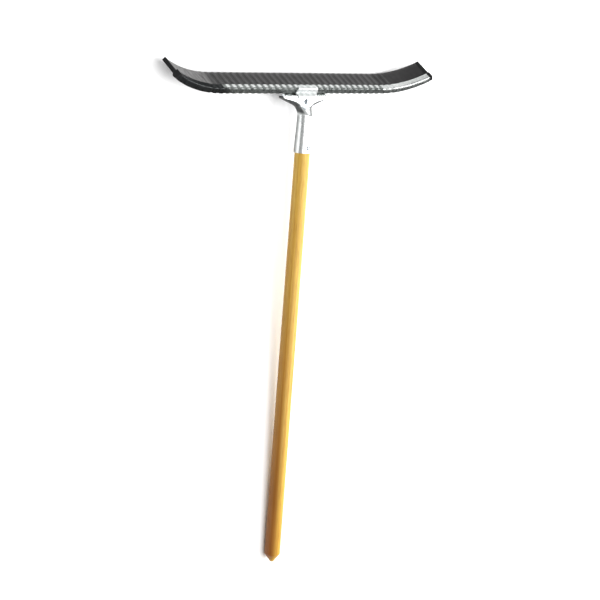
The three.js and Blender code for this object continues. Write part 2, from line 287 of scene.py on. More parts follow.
def rounded(corners, radii, steps=5):
    """A closed outline with its corners bent to the radii."""
    points = []
    for i, (corner, radius) in enumerate(zip(corners, radii)):
        after = corners[(i + 1) % len(corners)]
        points.extend(bend(corners[i - 1], corner, after, radius, steps))
    return points


def refined(points, spacing):
    """A closed outline with extra points on its long sides."""
    fine = []
    for i, here in enumerate(points):
        after = points[(i + 1) % len(points)]
        count = max(1, round((after - here).length / spacing))
        fine.extend(here.lerp(after, k / count) for k in range(count))
    return fine


def bent_path(corners, radius, steps=6):
    """An open path with its inner corners bent to one radius."""
    path = [Vector(corners[0])]
    for before, corner, after in zip(corners, corners[1:], corners[2:]):
        path.extend(bend(before, corner, after, radius, steps))
    path.append(Vector(corners[-1]))
    return path


def smoothstep(low, high, value):
    t = min(1, max(0, (value - low) / (high - low)))
    return t * t * (3 - 2 * t)


def between(table, key):
    """Smooth interpolation of a table's rows by their first number."""
    last = len(table) - 1
    i = next((k for k in range(last) if key <= table[k + 1][0]), last - 1)
    low, high = table[i], table[i + 1]
    before, after = table[max(i - 1, 0)], table[min(i + 2, last)]
    t = (key - low[0]) / (high[0] - low[0])
    values = []
    for column in range(1, len(low)):
        span = high[0] - low[0]
        slope_low = (high[column] - before[column]) / (high[0] - before[0]) * span
        slope_high = (after[column] - low[column]) / (after[0] - low[0]) * span
        values.append(
            low[column] * (2 * t ** 3 - 3 * t ** 2 + 1)
            + slope_low * (t ** 3 - 2 * t ** 2 + t)
            + high[column] * (3 * t ** 2 - 2 * t ** 3)
            + slope_high * (t ** 3 - t ** 2)
        )
    return values


def add_piece(name, bm, place, node, material, bevel=0, smooth_angle=40, wear=None):
    """A finished piece: it replaces its CAD node, rides on the body and takes its material."""
    bmesh.ops.recalc_face_normals(bm, faces=bm.faces)
    mesh = bpy.data.meshes.new(name)
    bm.to_mesh(mesh)
    bm.free()
    mesh.shade_smooth()
    mesh.set_sharp_from_angle(angle=math.radians(smooth_angle))
    # the stored value marks scuffing and grime, and also painted light and shade
    if wear:
        layer = mesh.attributes.new("wear", "FLOAT", "POINT")
        layer.data.foreach_set("value", [wear(v.co / MM) for v in mesh.vertices])
    mesh.materials.append(material)
    piece = bpy.data.objects.new(name, mesh)
    bpy.context.scene.collection.objects.link(piece)
    piece.matrix_world = place
    if bevel:
        soften = piece.modifiers.new("soft_edges", "BEVEL")
        soften.width = bevel * MM
        soften.segments = BEVEL_STEPS
        soften.limit_method = "ANGLE"
        soften.angle_limit = math.radians(smooth_angle)
    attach(piece, "root")
    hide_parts(node)


def carve(bm, cutters):
    """The mesh less the cutters, all closed bodies in the same frame."""
    target = mesh_object("carved", bm)
    for cutter in cutters:
        tool = mesh_object("cutter", cutter)
        cut = target.modifiers.new("cut", "BOOLEAN")
        cut.operation = "DIFFERENCE"
        cut.solver = "EXACT"
        cut.object = tool
        bpy.context.view_layer.update()
        result = bmesh.new()
        result.from_object(target, bpy.context.evaluated_depsgraph_get())
        target.modifiers.remove(cut)
        bpy.data.objects.remove(tool)
        result.to_mesh(target.data)
        result.free()
    carved = bmesh.new()
    carved.from_mesh(target.data)
    bpy.data.objects.remove(target)
    return carved


def mesh_object(name, bm):
    bmesh.ops.recalc_face_normals(bm, faces=bm.faces)
    mesh = bpy.data.meshes.new(name)
    bm.to_mesh(mesh)
    bm.free()
    made = bpy.data.objects.new(name, mesh)
    bpy.context.scene.collection.objects.link(made)
    return made


def moved(bm, matrix):
    """The mesh turned and moved by a matrix in metres."""
    bmesh.ops.transform(bm, matrix=matrix, verts=bm.verts)
    return bm


# ------------------------------------------------------------------ materials

class Surface:
    """A node material under construction, with short calls for the nodes it uses."""

    def __init__(
        self, name, metallic=0.0, coat=0.0, coat_roughness=0.2, specular=0.5, edge_tint=1.0,
    ):
        self.material = bpy.data.materials.new(name)
        self.material.use_nodes = True
        self.tree = self.material.node_tree
        self.shader = self.tree.nodes["Principled BSDF"]
        self.shader.inputs["Metallic"].default_value = metallic
        self.shader.inputs["Coat Weight"].default_value = coat
        self.shader.inputs["Coat Roughness"].default_value = coat_roughness
        self.shader.inputs["Specular IOR Level"].default_value = specular
        self.shader.inputs["Specular Tint"].default_value = (edge_tint, edge_tint, edge_tint, 1)

    def add(self, kind, output=0, settings=(), **inputs):
        node = self.tree.nodes.new(kind)
        for key, value in dict(settings).items():
            setattr(node, key, value)
        for key, value in inputs.items():
            socket = node.inputs[int(key[1:])] if key.startswith("_") else node.inputs[key]
            self.feed(socket, value)
        return node.outputs[output]

    def feed(self, socket, value):
        if isinstance(value, bpy.types.NodeSocket):
            self.tree.links.new(value, socket)
        else:
            socket.default_value = value

    def place(self, stretch=(1, 1, 1)):
        """Object coordinates in millimetres, stretched."""
        object_space = self.add("ShaderNodeTexCoord", output="Object")
        scale = [k / MM for k in stretch]
        return self.add("ShaderNodeMapping", Vector=object_space, Scale=scale)

    def noise(self, size, stretch=(1, 1, 1), detail=4.0, distortion=0.0):
        """Noise whose patches are about size millimetres across, before stretching."""
        return self.add(
            "ShaderNodeTexNoise",
            Vector=self.place(stretch),
            Scale=1 / size,
            Detail=detail,
            Distortion=distortion,
        )

    def cells(self, size):
        """Irregular grains about size millimetres across, each of one random shade."""
        point = self.place()
        colour = self.add("ShaderNodeTexVoronoi", output="Color", Vector=point, Scale=1 / size)
        return self.add("ShaderNodeSeparateColor", _0=colour)

    def wear(self):
        """The piece's own value, 0 to 1, stored on its vertices: scuffing and grime, and painted
        light and shade.
        """
        return self.add("ShaderNodeAttribute", output="Fac", settings={"attribute_name": "wear"})

    def coordinate(self, axis):
        """One object coordinate in millimetres."""
        return self.add("ShaderNodeSeparateXYZ", output=axis, Vector=self.place())

    def spread(self, value, low, high, start=0.0, end=1.0):
        """A factor that goes from start to end as the value goes from low to high."""
        return self.add("ShaderNodeMapRange", Value=value, _1=low, _2=high, _3=start, _4=end)

    def ramp(self, factor, *stops):
        """Colours or shades at positions along a factor."""
        node = self.tree.nodes.new("ShaderNodeValToRGB")
        elements = node.color_ramp.elements
        while len(elements) < len(stops):
            elements.new(0.5)
        for element, (position, colour) in zip(elements, stops):
            shade = colour if isinstance(colour, tuple) else (colour,) * 3
            element.position = position
            element.color = (*shade, 1)
        self.tree.links.new(factor, node.inputs[0])
        return node.outputs[0]

    def math(self, operation, a, b):
        return self.add("ShaderNodeMath", settings={"operation": operation}, _0=a, _1=b)

    def blend(self, factor, a, b, mode="MIX"):
        node = self.tree.nodes.new("ShaderNodeMix")
        node.data_type = "RGBA"
        node.blend_type = mode
        for name, value in (("Factor_Float", factor), ("A_Color", a), ("B_Color", b)):
            socket = next(s for s in node.inputs if s.identifier == name)
            self.feed(socket, (*value, 1) if isinstance(value, tuple) else value)
        return next(s for s in node.outputs if s.identifier == "Result_Color")

    def bump(self, height, depth, under=None):
        """Relief of a height pattern, depth in millimetres, laid over an earlier relief."""
        inputs = {"Height": height, "Distance": depth * MM, "Strength": 1.0}
        if under is not None:
            inputs["Normal"] = under
        return self.add("ShaderNodeBump", **inputs)

    def finish(self, colour, roughness, normal):
        self.feed(self.shader.inputs["Base Color"], colour)
        self.feed(self.shader.inputs["Roughness"], roughness)
        self.feed(self.shader.inputs["Normal"], normal)
        return self.material


def rubber_material():
    """Dull grey-black rubber: dusty blotches, a fine grain, pale scuffing and a painted reflection
    where its stored value is high.
    """
    s = Surface("ribbed_rubber", specular=0.22)
    blotches = s.noise(28)
    dust = s.noise(5, stretch=(1, 1, 0.25))
    grain = s.noise(0.7, detail=2.0)
    wear = s.wear()
    base = s.ramp(blotches, (0.3, (0.010, 0.0096, 0.0102)), (0.7, (0.019, 0.0182, 0.0188)))
    # pale marks: scuffing, and a painted reflection on the +X curved end
    pale_marks = s.math("MULTIPLY", wear, s.ramp(dust, (0.35, 0.15), (0.65, 1.0)))
    colour = s.blend(pale_marks, base, (0.26, 0.255, 0.255))
    roughness = s.ramp(dust, (0.3, 0.38), (0.7, 0.6))
    relief = s.bump(dust, 0.15)
    return s.finish(colour, roughness, s.bump(grain, 0.05, under=relief))


def moulding_material():
    """Black moulding, mottled and with a stippled skin."""
    s = Surface("black_moulding", specular=0.12)
    blotches = s.noise(9)
    stipple = s.noise(0.6, detail=2.0)
    colour = s.ramp(blotches, (0.35, (0.004, 0.004, 0.0045)), (0.65, (0.011, 0.011, 0.0115)))
    roughness = s.ramp(blotches, (0.3, 0.42), (0.7, 0.62))
    return s.finish(colour, roughness, s.bump(stipple, 0.1))


def channel_material():
    """Galvanised sheet, spangled and drawn lengthwise: dark grime and painted shade at a stored
    value of 0, a painted highlight of bright metal at 1.
    """
    s = Surface("galvanised_channel", metallic=1.0, edge_tint=0.35)
    spangle = s.cells(3.2)
    stain = s.noise(22, stretch=(0.4, 1, 1))
    drawn = s.noise(0.6, stretch=(0.02, 1, 1))
    wear = s.wear()
    zinc = s.ramp(spangle, (0.0, (0.115, 0.126, 0.121)), (1.0, (0.205, 0.222, 0.214)))
    stained = s.blend(s.ramp(stain, (0.4, 0.0), (0.75, 0.6)), zinc, (0.12, 0.13, 0.125))
    # dark grime and painted shade where the value is near 0, on the +X curved end
    grime_and_shade = s.blend(s.ramp(wear, (0.0, 1.0), (0.1, 0.0)), stained, (0.045, 0.047, 0.048))
    # painted highlight: bright metal as the value nears 1
    colour = s.blend(wear, grime_and_shade, (0.74, 0.76, 0.75))
    roughness = s.ramp(spangle, (0.0, 0.24), (1.0, 0.4))
    relief = s.bump(drawn, 0.03)
    return s.finish(colour, roughness, s.bump(spangle, 0.02, under=relief))


def zinc_material():
    """Bright zinc plating with rolling lines, cloudy stains and small pits."""
    s = Surface("zinc_hardware", metallic=1.0)
    clouds = s.noise(4)
    rolled = s.noise(0.5, stretch=(1, 0.03, 1))
    pits = s.noise(1.1, detail=3.0)
    colour = s.ramp(clouds, (0.3, (0.50, 0.54, 0.58)), (0.65, (0.78, 0.83, 0.88)))
    roughness = s.ramp(clouds, (0.3, 0.32), (0.7, 0.16))
    relief = s.bump(rolled, 0.025)
    return s.finish(colour, roughness, s.bump(pits, 0.03, under=relief))


def bracket_material():
    """Bright pressed steel, with painted shade: dark and dull where the piece's stored value is
    high.
    """
    s = Surface("pressed_steel", metallic=1.0)
    clouds = s.noise(16)
    rolled = s.noise(0.5, stretch=(1, 0.03, 1))
    pits = s.noise(1.1, detail=3.0)
    wear = s.wear()
    bright = s.ramp(clouds, (0.3, (0.68, 0.71, 0.705)), (0.65, (0.84, 0.86, 0.855)))
    # painted shade: dark metal where the value is high
    colour = s.blend(wear, bright, (0.10, 0.105, 0.105))
    polish = s.ramp(clouds, (0.3, 0.32), (0.7, 0.22))
    roughness = s.blend(s.ramp(wear, (0.05, 0.0), (0.2, 1.0)), polish, (0.55, 0.55, 0.55))
    relief = s.bump(rolled, 0.012)
    return s.finish(colour, roughness, s.bump(pits, 0.008, under=relief))


WOOD_LENGTH = (60.0, 880.0)   # stations between which the painted shade along the handle grows
# ring colours near the socket, and with painted shade at the free end
WOOD_NEAR_SOCKET = ((0.3, (0.60, 0.37, 0.060)), (0.5, (0.72, 0.49, 0.09)), (0.72, (0.80, 0.58, 0.14)))
WOOD_SHADED_AT_END = ((0.3, (0.48, 0.25, 0.032)), (0.5, (0.64, 0.38, 0.055)), (0.72, (0.76, 0.50, 0.09)))


def wood_material():
    """Amber varnished hardwood with long grain and pores.

    Painted light and shade: the -X side lighter, the +X side darker, and darker towards the free
    end.
    """
    s = Surface("varnished_wood", coat=0.22, coat_roughness=0.3, specular=0.12)
    rings = s.noise(5.5, stretch=(1, 0.012, 1), detail=3.0, distortion=0.6)
    pores = s.noise(0.7, stretch=(1, 0.025, 1), detail=3.0)
    drift = s.noise(60, stretch=(1, 0.35, 1), detail=2.0)
    length = s.coordinate("Y")
    across = s.coordinate("X")
    # painted shade: darker towards the free end
    shade_along = s.spread(length, *WOOD_LENGTH)
    grain = s.blend(shade_along, s.ramp(rings, *WOOD_NEAR_SOCKET), s.ramp(rings, *WOOD_SHADED_AT_END))
    # painted light: the -X side paler
    lit_side = s.blend(s.spread(across, -5.0, -14.0, end=0.8), grain, (0.78, 0.57, 0.17))
    # painted shade: the +X side darker, more so towards the free end
    shaded_side = s.spread(across, -3.0, 12.0)
    side_shade_along = s.spread(length, *WOOD_LENGTH, start=0.3)
    tone = s.blend(s.math("MULTIPLY", shaded_side, side_shade_along), lit_side, (0.17, 0.05, 0.006))
    drifted = s.blend(s.ramp(drift, (0.45, 0.0), (0.75, 0.25)), tone, (0.42, 0.17, 0.025))
    colour = s.blend(s.ramp(pores, (0.52, 0.0), (0.68, 0.5)), drifted, (0.22, 0.09, 0.015))
    roughness = s.ramp(pores, (0.3, 0.34), (0.7, 0.5))
    relief = s.bump(rings, 0.12)
    return s.finish(colour, roughness, s.bump(pores, 0.05, under=relief))


RUBBER = rubber_material()
MOULDING = moulding_material()
CHANNEL = channel_material()
BRACKET = bracket_material()
ZINC = zinc_material()
WOOD = wood_material()


# ------------------------------------------------------------------ blade

LAST_RIB = (RIB_COUNT - 1) / 2 * RIB_PITCH

# Where the crimp of a wall sets in, from the middle out, and the dip of the spine, upwards
CRIMP_SETS_IN = (SLOT_HALF + 0.2, CHANNEL_HALF - 0.4)
SPINE_SETS_IN = (CHANNEL_TOP - CHANNEL_ROOF, CHANNEL_TOP - 0.3)

# Where the scuffing, grime and painted light start and end, and their values on the rubber and on
# the channel
END_FADE = 30               # length over which the markings and painted light change at a curved end
EDGE_BAND = (0.5, 9)         # heights between which the working edge's scuffs run out
EDGE_SCUFFS = 0.2
RIB_SCUFFS = 0.11
STRAIGHT_SCUFFS = 0.05
# painted reflection: the +X curved end of the rubber is lightened
END_GLARE = 0.75
WALL_STARTS = (3.4, 5.2)     # distances from the middle between which the front wall's painted highlight sets in
WALL_ENDS = (46.5, 48.5)     # heights between which it runs out
END_FRONT = (0.5, 3.5)       # its WALL_STARTS on a curved end, from the middle of the curve
PLAIN_METAL = 0.08           # neither darkened nor brightened
# painted highlight: faint in the front wall's crimps, strong on its crests, and on the -X end's
# front
CRIMP_HIGHLIGHT = 0.1
CREST_HIGHLIGHT = 0.75
END_HIGHLIGHT = 0.66


def rib_wave(s):
    """1 on the land of a rib, 0 between ribs and past the last one."""
    centre = round(s / RIB_PITCH) * RIB_PITCH
    if abs(centre) > LAST_RIB + RIB_PITCH / 2:
        return 0
    return 1 - smoothstep(RIB_LAND / 2, RIB_LAND / 2 + RIB_RAMP, abs(s - centre))


def stations():
    """Distances along the blade: close together over the ribs, wider on the plain curved ends."""
    span = LAST_RIB + RIB_LAND / 2 + RIB_RAMP
    count = RIB_COUNT * RIB_STEPS
    middle = [-span + 2 * span * i / count for i in range(count + 1)]
    right = [span + (STEEL_END - span) * i / BEND_STEPS for i in range(1, BEND_STEPS + 1)]
    return [-s for s in reversed(right)] + middle + right


def on_blade(s, y, z):
    """A point at distance s along the blade, y behind its middle and z above its edge."""
    turn = max(0, abs(s) - STRAIGHT_HALF) / BEND_RADIUS
    if turn == 0:
        return Vector((s, y, z))
    radius = BEND_RADIUS + y
    x = STRAIGHT_HALF + radius * math.sin(turn)
    return Vector((math.copysign(x, s), radius * math.cos(turn) - BEND_RADIUS, z))


def rubber_blade():
    top = CHANNEL_TOP - CHANNEL_ROOF - GAP
    corners = [(-RUBBER_HALF, 0), (RUBBER_HALF, 0), (RUBBER_HALF, top), (-RUBBER_HALF, top)]
    radii = [1.1, 1.1, 0.5, 0.5]
    section = refined(rounded(corners, radii), spacing=5)
    rings = []
    for s in stations():
        swell = 1 + RIB_RELIEF / RUBBER_HALF * rib_wave(s)
        rings.append([on_blade(s, y * swell, z) for y, z in section])
    return loft(rings)


def rubber_wear(point):
    """Scuffing at the working edge, on the ribs and along the straight part; a painted reflection
    on the +X curved end.
    """
    edge = 1 - smoothstep(*EDGE_BAND, point.z)
    straight = abs(point.x) < STRAIGHT_HALF
    rib = rib_wave(point.x) if straight else 0
    # painted reflection on the +X curved end
    glare_end = smoothstep(STRAIGHT_HALF, STRAIGHT_HALF + END_FADE, point.x)
    pale_marks = EDGE_SCUFFS * edge + RIB_SCUFFS * rib + STRAIGHT_SCUFFS * straight
    return pale_marks + END_GLARE * glare_end


def blade_channel():
    low, roof = RUBBER_EXPOSED, CHANNEL_TOP - CHANNEL_ROOF
    half, top = CHANNEL_HALF, CHANNEL_TOP
    outside = [(-half, low), (-half, top), (half, top), (half, low)]
    slot = [(SLOT_HALF, low), (SLOT_HALF, roof), (-SLOT_HALF, roof), (-SLOT_HALF, low)]
    radii = [0.7, 2.2, 2.2, 0.7, 0.7, 0.8, 0.8, 0.7]
    section = refined(rounded(outside + slot, radii), spacing=2)
    rings = []
    for s in stations():
        wave = rib_wave(s)
        ring = []
        for y, z in section:
            outer = smoothstep(*CRIMP_SETS_IN, abs(y))
            spine = smoothstep(*SPINE_SETS_IN, z)
            inward = math.copysign(CRIMP_DEPTH * wave * outer, y)
            sink = SPINE_DIP * wave * spine
            ring.append(on_blade(s, y - inward, z - sink))
        rings.append(ring)
    return loft(rings)


def channel_wear(point):
    """Dark grime and painted shade on the +X curved end; painted highlights of bright metal on the
    front of the other end and on the front wall between the crimps.
    """
    if abs(point.x) > STRAIGHT_HALF:
        front = smoothstep(*END_FRONT, on_blade(curve_station(point.x), 0, 0).y - point.y)
        # painted highlight on the front of the -X end; dark grime and painted shade on the +X end
        return PLAIN_METAL + END_HIGHLIGHT * front if point.x < 0 else 0
    # painted highlight on the front wall, strongest between the crimps
    front = smoothstep(*WALL_STARTS, -point.y) * (1 - smoothstep(*WALL_ENDS, point.z))
    unmarked = PLAIN_METAL * (1 - smoothstep(STRAIGHT_HALF - END_FADE, STRAIGHT_HALF, point.x))
    return max(unmarked, front * (CRIMP_HIGHLIGHT + CREST_HIGHLIGHT * (1 - rib_wave(point.x))))


def curve_station(x):
    """Distance along the blade of a point whose X lies on a curved end."""
    turn = math.asin(min(1, (abs(x) - STRAIGHT_HALF) / BEND_RADIUS))
    return math.copysign(STRAIGHT_HALF + BEND_RADIUS * turn, x)


def end_cap(side):
    leg = RUBBER_HALF + CAP_LIP
    head = CHANNEL_HALF + CAP_LIP
    top = CHANNEL_TOP + CAP_LIP
    shoulder = RUBBER_EXPOSED - CAP_LIP
    profile = [
        (-leg, 0), (leg, 0), (leg, shoulder), (head, RUBBER_EXPOSED + CAP_CHAMFER),
        (head, top - 2 * CAP_CHAMFER), (head - CAP_CHAMFER, top), (-head + CAP_LIP, top),
        (-head, top - CAP_LIP), (-head, shoulder), (-leg, shoulder),
    ]
    radii = [1.1, 1.1, 1.0, 1.2, 1.4, 1.2, 0.15, 0.15, 0.5, 0.6]
    outline = rounded(profile, radii)
    ends = (STEEL_END + GAP, STEEL_END + CAP_LENGTH)
    return loft([[on_blade(side * s, y, z) for y, z in outline] for s in ends])


# ------------------------------------------------------------------ bracket

# Where the painted shade on the sheet and on the strap starts and ends, and its values
FLANK_START = (-0.1, 0.5)    # the inner edge of a flank's painted shade, in reaches past the flat, and its shift
FLANK_SHIFTS = (15, 27)      # stations between which that edge shifts outwards
FLANK_EDGE = 0.3             # width of that edge, in reaches
FLANK_ENDS = (30, 38)        # stations between which the flank's painted shade runs out
SOCKET_SHADE_STARTS = (32, 42)       # stations between which the socket's painted shade begins
SOCKET_SHADE_TURN = (72, 105)        # degrees round the socket between which its bright top turns to painted shade
# strength of the painted shade on the socket
SOCKET_SHADE = 0.72
# painted shade on the strap
STRAP_SHADE = 0.16            # over the channel
FLUTE_SHADE = 0.14            # more of it in a flute
STRAP_SHADE_ENDS = (AXIS_START.y + 2, AXIS_START.y + 6)   # distances to the back


def sheet_point(station, column, depth):
    """A point of the pressed sheet: columns count outwards from the middle, depth goes inwards."""
    flat, reach, drop, angle, top = between(SHEET_SECTIONS, station)
    flat = max(0, flat)
    place = abs(column)
    if place <= FLAT_COLUMNS:
        x, z = flat * place / FLAT_COLUMNS, top - depth
    else:
        turn = math.radians(angle) * (place - FLAT_COLUMNS) / ROLL_COLUMNS
        x = flat + (reach - depth) * math.sin(turn)
        z = top - drop + (drop - depth) * math.cos(turn)
    return Vector((math.copysign(x, column), station, z))


def sheet_grid(depth):
    half = FLAT_COLUMNS + ROLL_COLUMNS
    rows = []
    for i in range(SHEET_ROWS + 1):
        station = FAN_FRONT + (SOCKET_END - FAN_FRONT) * (i / SHEET_ROWS) ** SHEET_CROWDING
        rows.append([sheet_point(station, column, depth) for column in range(-half, half + 1)])
    return rows


def foot_body():
    """The foot: folded down from the fan's front edge against the channel's back."""
    face_y = CHANNEL_HALF + GAP
    back_y = face_y + FOOT_SHEET
    low = CHANNEL_TOP - FOOT_DROP
    top_y, top_z = side_point(FAN_FRONT + FOOT_TUCK, SHEET_TOP - SHEET / 2)
    back_drop, face_drop = FOOT_SHOULDERS
    slant_y, slant_z = FOOT_TOP_SLANT
    back = bent_path([(top_y, top_z), (back_y, top_z - back_drop), (back_y, low)], FOOT_BEND)
    face_top = (top_y + slant_y, top_z + slant_z)
    face = bent_path([face_top, (face_y, top_z - face_drop), (face_y, low)], FOOT_BEND)
    columns = [FOOT_HALF * (2 * i / FOOT_COLUMNS - 1) for i in range(FOOT_COLUMNS + 1)]
    top, bottom = ([[(x, y, z) for x in columns] for y, z in path] for path in (back, face))
    return sheet_body(top, bottom)


def bore(radius, low, high):
    """The body of a round hole, with clearance, along Z."""
    wide = radius + GAP
    return lathe([(0, low), (wide, low), (wide, high), (0, high)])


def bolt_bore():
    """The centre bolt's hole, in the handle's frame."""
    hole = bore(BOLT_RADIUS, -BOLT_REACH, BOLT_REACH)
    return moved(hole, Matrix.Translation((0, BOLT_STATION * MM, 0)))


def screw_bore():
    """The hole for the wood screw through the socket and into the handle, in the handle's frame."""
    bottom = MOUTH_RADIUS - SOCKET_SCREW_DEPTH - GAP
    hole = bore(SOCKET_SCREW_RADIUS, bottom, MOUTH_RADIUS + 1)
    return moved(hole, Matrix.Translation((0, SOCKET_SCREW_STATION * MM, 0)))


def foot_bore(x):
    """One screw's hole through the foot, in the blade's frame."""
    hole = bore(FOOT_SCREW_RADIUS, 0, FOOT_SCREW_REACH)
    return moved(hole, BLADE_FRAME.inverted() @ foot_screw_frame(x))


def socket_bracket():
    bracket = carve(sheet_body(sheet_grid(0), sheet_grid(SHEET)), [bolt_bore(), screw_bore()])
    foot = carve(foot_body(), [foot_bore(x) for x in FOOT_SCREW_STATIONS])
    moved(foot, HANDLE_IN_BLADE.inverted())
    foot_mesh = bpy.data.meshes.new("foot")
    foot.to_mesh(foot_mesh)
    foot.free()
    bracket.from_mesh(foot_mesh)
    bpy.data.meshes.remove(foot_mesh)
    return bracket


def bracket_wear(point):
    """Painted shade on the turned-down flanks of the fan and on the socket's sides and underside.
    """
    flat, reach, *_ = between(SHEET_SECTIONS, max(point.y, FAN_FRONT))
    rolled = (abs(point.x) - flat) / reach
    at_fan, shift = FLANK_START
    start = at_fan + shift * smoothstep(*FLANK_SHIFTS, point.y)
    # painted shade on the flank
    flank = smoothstep(start, start + FLANK_EDGE, rolled) * (1 - smoothstep(*FLANK_ENDS, point.y))
    turn = math.degrees(math.atan2(abs(point.x), point.z))
    # painted shade on the socket's sides and underside
    socket_shade = SOCKET_SHADE * smoothstep(*SOCKET_SHADE_TURN, turn) * smoothstep(*SOCKET_SHADE_STARTS, point.y)
    return max(flank, socket_shade)


def strap_half_width(along, whole):
    """Half-width of the strap at a distance along it, rounded off at its free end."""
    width = STRAP_HALF_FRONT + (STRAP_HALF_BACK - STRAP_HALF_FRONT) * min(1, along / STRAP_WIDENS)
    narrowed = max(0, (along - STRAP_NARROWS) / (whole - STRAP_NARROWS))
    width -= (STRAP_HALF_BACK - STRAP_HALF_END) * narrowed
    corner = max(0, along - (whole - STRAP_CORNER)) / STRAP_CORNER
    return width - STRAP_CORNER * (1 - math.sqrt(max(0, 1 - corner ** 2)))


def strap_path():
    """(y, z) points along the strap's underside in the blade's frame, about STRAP_STEP apart."""
    front = -CHANNEL_HALF - GAP
    bottom = CHANNEL_TOP + GAP
    over = SHEET_TOP + GAP
    corners = [
        (front, CHANNEL_TOP - STRAP_HOOK),
        (front, bottom),
        (AXIS_START.y, bottom),
        side_point(FAN_FRONT - GAP, over),
        side_point(STRAP_END, over),
    ]
    path = bent_path(corners, STRAP_BEND)
    fine = []
    for here, after in zip(path, path[1:]):
        count = max(1, math.ceil((after - here).length / STRAP_STEP))
        fine.extend(here.lerp(after, k / count) for k in range(count))
    fine.append(path[-1])
    return fine


def clamp_strap():
    """The strap: hooked over the channel's front, pressed onto its top, climbing onto the fan."""
    path = strap_path()
    lengths = [0]
    for here, after in zip(path, path[1:]):
        lengths.append(lengths[-1] + (after - here).length)
    last = len(path) - 1
    inner, outer = [], []
    for i, here in enumerate(path):
        run = (path[min(i + 3, last)] - path[max(i - 3, 0)]).normalized()
        normal = Vector((-run.y, run.x))
        half = strap_half_width(lengths[i], lengths[-1])
        pressed = STRAP_PRESS * (1 - smoothstep(*FLUTES_FADE, lengths[i]))
        row = [half * (2 * k / STRAP_COLUMNS - 1) for k in range(STRAP_COLUMNS + 1)]
        tops = [here + normal * (STRAP_SHEET - pressed * rib_wave(x)) for x in row]
        inner.append([(x, here.x, here.y) for x in row])
        outer.append([(x, top.x, top.y) for x, top in zip(row, tops)])
    return carve(sheet_body(outer, inner), [moved(bolt_bore(), HANDLE_IN_BLADE)])


def strap_wear(point):
    """Painted shade: darker, duller metal over the channel, most of all in the pressed flutes."""
    over_channel = 1 - smoothstep(*STRAP_SHADE_ENDS, point.y)
    # painted shade, deepest in the flutes
    return (STRAP_SHADE + FLUTE_SHADE * rib_wave(point.x)) * over_channel


# ------------------------------------------------------------------ handle and fasteners

def handle():
    """The turned handle; its axis is Y."""
    return moved(lathe(HANDLE_PROFILE, sides=HANDLE_SIDES), Matrix.Rotation(-math.pi / 2, 4, "X"))


def hex_head(base, height, corner):
    """(radius, height) rings of a hexagonal head with a chamfered top, for lathe's hexagon."""
    top = base + height
    return [
        (corner * HEX_SPARE, base),
        (corner * HEX_SPARE, top - HEX_CHAMFER),
        (corner * HEX_FLAT * HEX_CROWN, top),
        (0, top),
    ]


def thread(radius, low, high, pitch=1.0, depth=0.35):
    """(radius, height) rings of a threaded shank, from its low end up."""
    rings = [(0, low), (radius - depth, low)]
    for i in range(int((high - low) / pitch)):
        rings.append((radius - depth, low + (i + 0.3) * pitch))
        rings.append((radius, low + (i + 0.7) * pitch))
    rings.append((radius, high))
    return rings


FOOT_BACK = CHANNEL_HALF + GAP + FOOT_SHEET
STRAP_TOP = SHEET_TOP + GAP + STRAP_SHEET
BOLT_HEAD_BASE = STRAP_TOP + WASHER_THICKNESS + 2 * GAP
NUT_TOP = SHEET_TOP - SHEET - WASHER_THICKNESS - 2 * GAP


def centre_bolt():
    shank = thread(BOLT_RADIUS, NUT_TOP - NUT_HEIGHT - BOLT_TAIL, BOLT_HEAD_BASE)
    return lathe(shank + hex_head(BOLT_HEAD_BASE, BOLT_HEAD_HEIGHT, HEX_RADIUS), hexagon=HEX_RADIUS)


def nut():
    inner = BOLT_RADIUS + GAP
    crown = HEX_RADIUS * HEX_FLAT * HEX_CROWN
    wide = HEX_RADIUS * HEX_SPARE
    low, top = NUT_TOP - NUT_HEIGHT, NUT_TOP
    rings = [
        (inner, low), (crown, low), (wide, low + HEX_CHAMFER),
        (wide, top - HEX_CHAMFER), (crown, top), (inner, top),
    ]
    return lathe(rings, hexagon=HEX_RADIUS, closed=True)


def washer(inner, outer, base):
    top = base + WASHER_THICKNESS
    soft = WASHER_EDGE
    rings = [
        (inner, base), (outer - soft, base), (outer, base + soft), (outer, top - soft),
        (outer - soft, top), (inner + soft, top), (inner, top - soft),
    ]
    return lathe(rings, closed=True)


def foot_screw():
    base = FOOT_BACK + WASHER_THICKNESS + 2 * GAP
    shank = thread(FOOT_SCREW_RADIUS, CHANNEL_HALF - FOOT_SCREW_BITE, base)
    head = hex_head(base, FOOT_SCREW_HEAD_HEIGHT, FOOT_SCREW_HEAD)
    return lathe(shank + head, hexagon=FOOT_SCREW_HEAD)


def socket_screw():
    """Round-headed wood screw with a cross recess."""
    base = MOUTH_RADIUS + GAP
    tip = MOUTH_RADIUS - SOCKET_SCREW_DEPTH
    rim = base + SOCKET_SCREW_RIM
    point, taper = SOCKET_SCREW_POINT
    above_tip, depth = SOCKET_SCREW_THREAD
    rings = [(0, tip), (point, tip + taper)]
    rings += thread(SOCKET_SCREW_RADIUS, tip + above_tip, base, depth=depth)[1:]
    rings += [(SOCKET_SCREW_HEAD - SOCKET_SCREW_EDGE, base), (SOCKET_SCREW_HEAD, rim)]
    for i in range(1, DOME_STEPS):
        angle = math.pi / 2 * i / DOME_STEPS
        height = rim + SOCKET_SCREW_DOME * math.sin(angle)
        rings.append((SOCKET_SCREW_HEAD * math.cos(angle), height))
    rings.append((0, rim + SOCKET_SCREW_DOME))
    recess = [recess_arm(base + RECESS_FLOOR, quarter) for quarter in (0, 1)]
    return carve(lathe(rings), recess)


